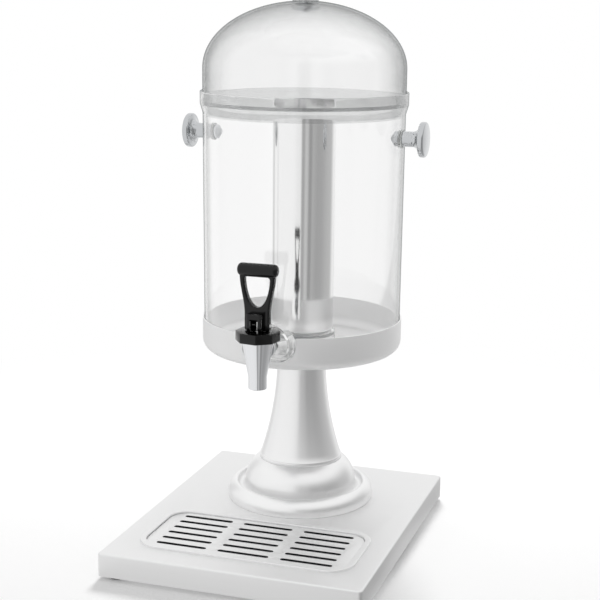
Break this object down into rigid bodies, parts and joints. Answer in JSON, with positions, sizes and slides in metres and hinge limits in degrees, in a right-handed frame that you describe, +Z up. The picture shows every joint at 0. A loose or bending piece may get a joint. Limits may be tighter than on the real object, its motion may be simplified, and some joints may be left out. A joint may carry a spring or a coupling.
{
  "type": "juice dispenser",
  "caption": "Countertop juice dispenser: a clear tank with a dome lid, ice tube and lever tap, in a steel cup on a spun pedestal and a base with a drip tray.",
  "frame": {"origin": "on the table, under the middle of the base", "axes": "+Z up, -Y towards the tap and the drip tray, +X to the right seen from the tap's side"},
  "size_m": [0.26, 0.325, 0.5647],
  "materials": {
    "satin_steel": "satin",
    "zinc_steel": "zinc plated",
    "polished_steel": "polished",
    "chrome": "polished",
    "clear_plastic": "clear gloss",
    "black_plastic": "gloss",
    "grey_plastic": "matte",
    "silicone": "matte",
    "foot_rubber": "matte"
  },
  "bodies": {
    "stand": {"base_cover": "satin_steel", "base_feet": "foot_rubber", "foot_screws": "zinc_steel", "foot_nuts": "zinc_steel", "base_stiffener": "zinc_steel", "pedestal_flange": "satin_steel", "pedestal_column": "satin_steel", "support_cup": "satin_steel", "cup_hub": "zinc_steel", "tie_rod": "zinc_steel", "tie_rod_washer": "zinc_steel", "tie_rod_nut": "zinc_steel"},
    "tank": {"tank_vessel": "clear_plastic", "tank_rim": "clear_plastic", "ice_tube_seat": "clear_plastic", "ice_tube": "polished_steel", "ice_tube_gasket": "silicone", "ice_tube_washer": "zinc_steel", "ice_tube_nut": "zinc_steel", "knob_left": "chrome", "knob_right": "chrome", "knob_cap_nuts": "chrome", "knob_washers": "silicone", "tap_body": "chrome", "tap_gaskets": "silicone", "tap_shank_nut": "grey_plastic", "tap_bonnet": "black_plastic", "tap_spring": "zinc_steel"},
    "lid": {"lid_dome": "clear_plastic", "lid_knob": "chrome", "lid_knob_nut": "chrome", "lid_knob_washers": "silicone"},
    "tap_stem": {"tap_stem": "polished_steel", "tap_seat_cup": "silicone", "tap_handle_pin": "polished_steel"},
    "tap_handle": {"tap_handle": "black_plastic"},
    "drip_tray": {"drip_tray": "satin_steel"},
    "drip_grille": {"drip_grille": "satin_steel"}
  },
  "joints": [
    {"name": "tank_lift", "type": "slide", "parent": "stand", "child": "tank", "axis": [0, 0, 1], "range_m": [0, 0.08]},
    {"name": "lid_lift", "type": "slide", "parent": "tank", "child": "lid", "axis": [0, 0, 1], "range_m": [0, 0.06]},
    {"name": "stem_lift", "type": "slide", "parent": "tank", "child": "tap_stem", "axis": [0, 0, 1], "range_m": [0, 0.0046], "deforming": ["tap_spring"]},
    {"name": "handle_tilt", "type": "hinge", "parent": "tap_stem", "child": "tap_handle", "pos_m": [0, -0.077, 0.2406], "axis": [1, 0, 0], "range_deg": [0, 35], "stiffness_Nm_per_rad": 0.034, "springref_deg": -45.84},
    {"name": "drip_tray_lift", "type": "slide", "parent": "stand", "child": "drip_tray", "axis": [0, 0, 1], "range_m": [0, 0.04]},
    {"name": "drip_grille_lift", "type": "slide", "parent": "drip_tray", "child": "drip_grille", "axis": [0, 0, 1], "range_m": [0, 0.03]}
  ],
  "couplings": [
    {"joint": "stem_lift", "follows": "handle_tilt", "m_per_rad": 0.0075}
  ]
}
